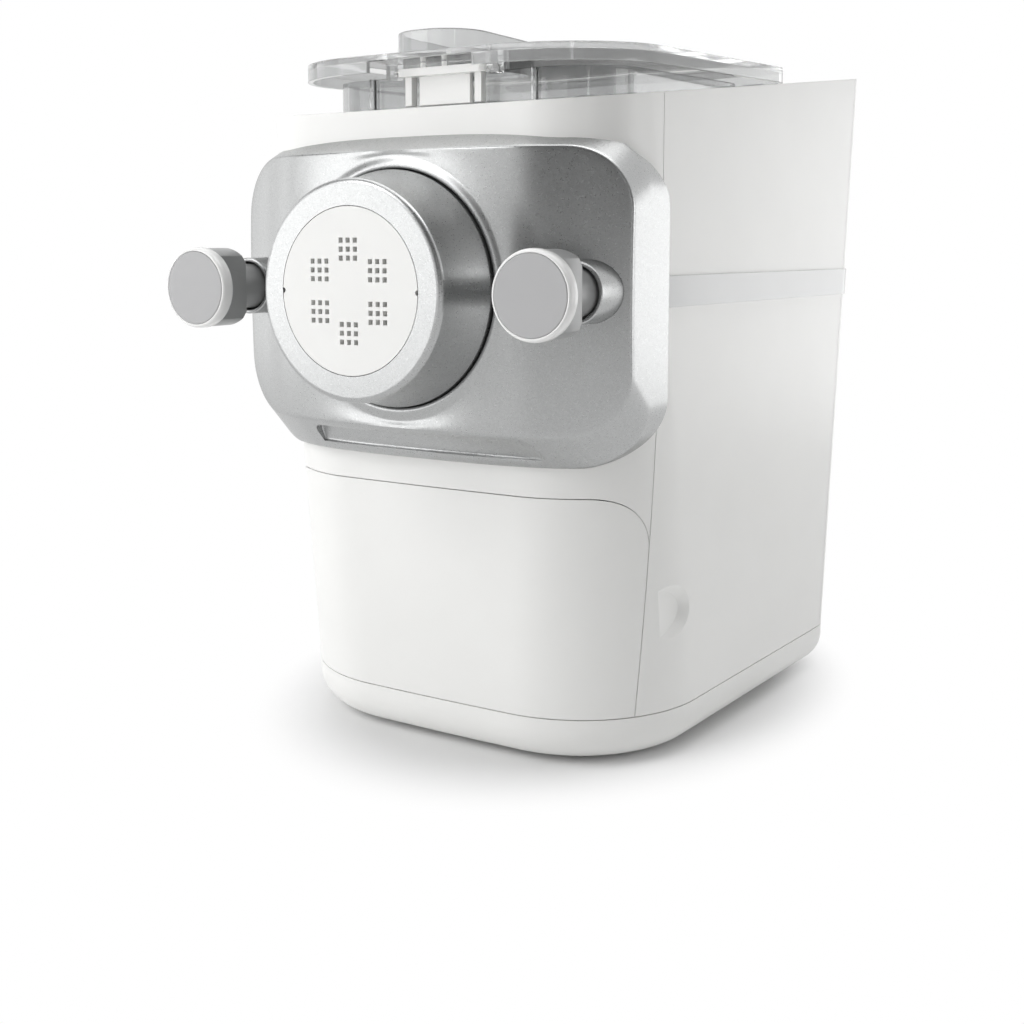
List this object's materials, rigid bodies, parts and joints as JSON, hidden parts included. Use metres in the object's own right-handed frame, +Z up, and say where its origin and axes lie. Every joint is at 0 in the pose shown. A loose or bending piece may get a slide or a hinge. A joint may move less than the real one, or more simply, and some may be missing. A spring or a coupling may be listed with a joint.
{
  "type": "electric pasta maker",
  "caption": "Countertop machine that mixes dough in a clear-lidded chamber and extrudes it forward through a disc held by a large nut, with clamp knobs and a drawer.",
  "frame": {"origin": "under the middle of the whole machine, on the surface it stands on", "axes": "+X to the right seen from the front, +Y from the front to the back, +Z up"},
  "size_m": [0.2388, 0.3267, 0.3425],
  "materials": {
    "white_housing": "satin moulded plastic",
    "silver_paint": "fine metallic paint, satin",
    "grey_knob": "light grey moulded plastic",
    "grey_cap": "satin grey",
    "white_trim": "glossy white",
    "disc_white": "fine matt white",
    "band_grey": "glossy light grey",
    "clear_plastic": "clear moulded plastic",
    "fascia": "glossy black",
    "display": "smoked window",
    "button": "light grey",
    "board_green": "solder mask",
    "steel": "turned steel",
    "zinc_plate": "zinc-plated sheet",
    "gear_plastic": "acetal",
    "bronze": "sintered bronze",
    "dark_plastic": "moulded black",
    "paddle_grey": "food-safe plastic",
    "seal_rubber": "silicone",
    "foot_rubber": "moulded rubber"
  },
  "bodies": {
    "housing": {"base_tray": "white_housing", "rubber_feet": "foot_rubber", "front_cover": "white_housing", "side_shell_left": "white_housing", "side_shell_right": "white_housing", "rear_cover": "white_housing", "rear_screws": "steel", "side_band_left": "band_grey", "side_band_right": "band_grey", "top_deck": "white_housing", "control_fascia": "fascia", "display_glass": "display", "control_board": "board_green", "shaft_bushes": "bronze", "shaft_seal": "seal_rubber", "gearbox_bulkhead": "zinc_plate", "gearbox_case": "dark_plastic", "gearbox_screws": "steel", "motor_can": "zinc_plate", "motor_board": "board_green", "power_inlet": "dark_plastic", "mixing_chamber": "clear_plastic", "chamber_shelf": "dark_plastic", "lid_switch": "dark_plastic", "clamp_rail_left": "zinc_plate", "clamp_rail_right": "zinc_plate"},
    "front_panel": {"front_plate": "silver_paint", "lip_ring": "silver_paint", "extrusion_tube": "dark_plastic", "shaping_disc": "disc_white", "knob_sleeve_left": "silver_paint", "knob_sleeve_right": "silver_paint"},
    "disc_nut": {"disc_nut": "silver_paint"},
    "knob_left": {"knob_cap_left": "grey_cap", "knob_rim_left": "white_trim", "knob_body_left": "grey_knob", "clamp_rod_left": "steel"},
    "knob_right": {"knob_cap_right": "grey_cap", "knob_rim_right": "white_trim", "knob_body_right": "grey_knob", "clamp_rod_right": "steel"},
    "drawer": {"drawer_front": "white_housing", "drawer_tray": "dark_plastic", "spare_discs": "disc_white"},
    "mixer": {"extruding_screw": "steel", "mixing_paddle": "paddle_grey", "drive_shaft": "steel", "output_gear": "gear_plastic"},
    "lay_cluster": {"lay_shaft": "steel", "lay_gears": "gear_plastic"},
    "rotor": {"motor_rotor": "steel", "motor_pinion": "steel", "cooling_fan": "dark_plastic"},
    "lid": {"lid": "clear_plastic"},
    "latch": {"lid_latch": "white_trim", "latch_pins": "white_trim"},
    "power_button": {"power_button": "button"},
    "mode_button": {"mode_button": "button"},
    "weigh_button": {"weigh_button": "button"},
    "start_button": {"start_button": "button"}
  },
  "joints": [
    {"name": "front_panel_slide", "type": "slide", "parent": "housing", "child": "front_panel", "axis": [0, -1, 0], "range_m": [0, 0.09]},
    {"name": "disc_nut_turn", "type": "hinge", "parent": "front_panel", "child": "disc_nut", "pos_m": [0, -0.16332, 0.2196], "axis": [0, 1, 0], "range_deg": [0, 90]},
    {"name": "knob_left_turn", "type": "hinge", "parent": "front_panel", "child": "knob_left", "pos_m": [-0.0887, -0.16332, 0.2196], "axis": [0, 1, 0], "range_deg": [-90, 0]},
    {"name": "knob_right_turn", "type": "hinge", "parent": "front_panel", "child": "knob_right", "pos_m": [0.0887, -0.16332, 0.2196], "axis": [0, 1, 0], "range_deg": [-90, 0]},
    {"name": "drawer_slide", "type": "slide", "parent": "housing", "child": "drawer", "axis": [0, -1, 0], "range_m": [0, 0.08]},
    {"name": "mixer_spin", "type": "hinge", "parent": "housing", "child": "mixer", "pos_m": [0, 0.07668, 0.2196], "axis": [0, 1, 0], "continuous": true},
    {"name": "lay_spin", "type": "hinge", "parent": "housing", "child": "lay_cluster", "pos_m": [0, 0.10668, 0.1396], "axis": [0, 1, 0], "continuous": true},
    {"name": "rotor_spin", "type": "hinge", "parent": "housing", "child": "rotor", "pos_m": [0, 0.07668, 0.0766], "axis": [0, 1, 0], "continuous": true},
    {"name": "lid_lift", "type": "slide", "parent": "housing", "child": "lid", "axis": [0, 0, 1], "range_m": [0, 0.06]},
    {"name": "latch_tilt", "type": "hinge", "parent": "lid", "child": "latch", "pos_m": [0, -0.09132, 0.3181], "axis": [1, 0, 0], "range_deg": [-12, 0], "stiffness_Nm_per_rad": 0.02},
    {"name": "power_button_press", "type": "slide", "parent": "housing", "child": "power_button", "axis": [0, 0.1215, -0.9926], "range_m": [0, 0.0012], "stiffness_N_per_m": 120, "springref_m": -0.0003},
    {"name": "mode_button_press", "type": "slide", "parent": "housing", "child": "mode_button", "axis": [0, 0.1215, -0.9926], "range_m": [0, 0.0012], "stiffness_N_per_m": 120, "springref_m": -0.0003},
    {"name": "weigh_button_press", "type": "slide", "parent": "housing", "child": "weigh_button", "axis": [0, 0.1215, -0.9926], "range_m": [0, 0.0012], "stiffness_N_per_m": 120, "springref_m": -0.0003},
    {"name": "start_button_press", "type": "slide", "parent": "housing", "child": "start_button", "axis": [0, 0.1215, -0.9926], "range_m": [0, 0.0012], "stiffness_N_per_m": 120, "springref_m": -0.0003}
  ],
  "couplings": [
    {"joint": "lay_spin", "follows": "mixer_spin", "ratio": -4},
    {"joint": "rotor_spin", "follows": "mixer_spin", "ratio": 20}
  ]
}
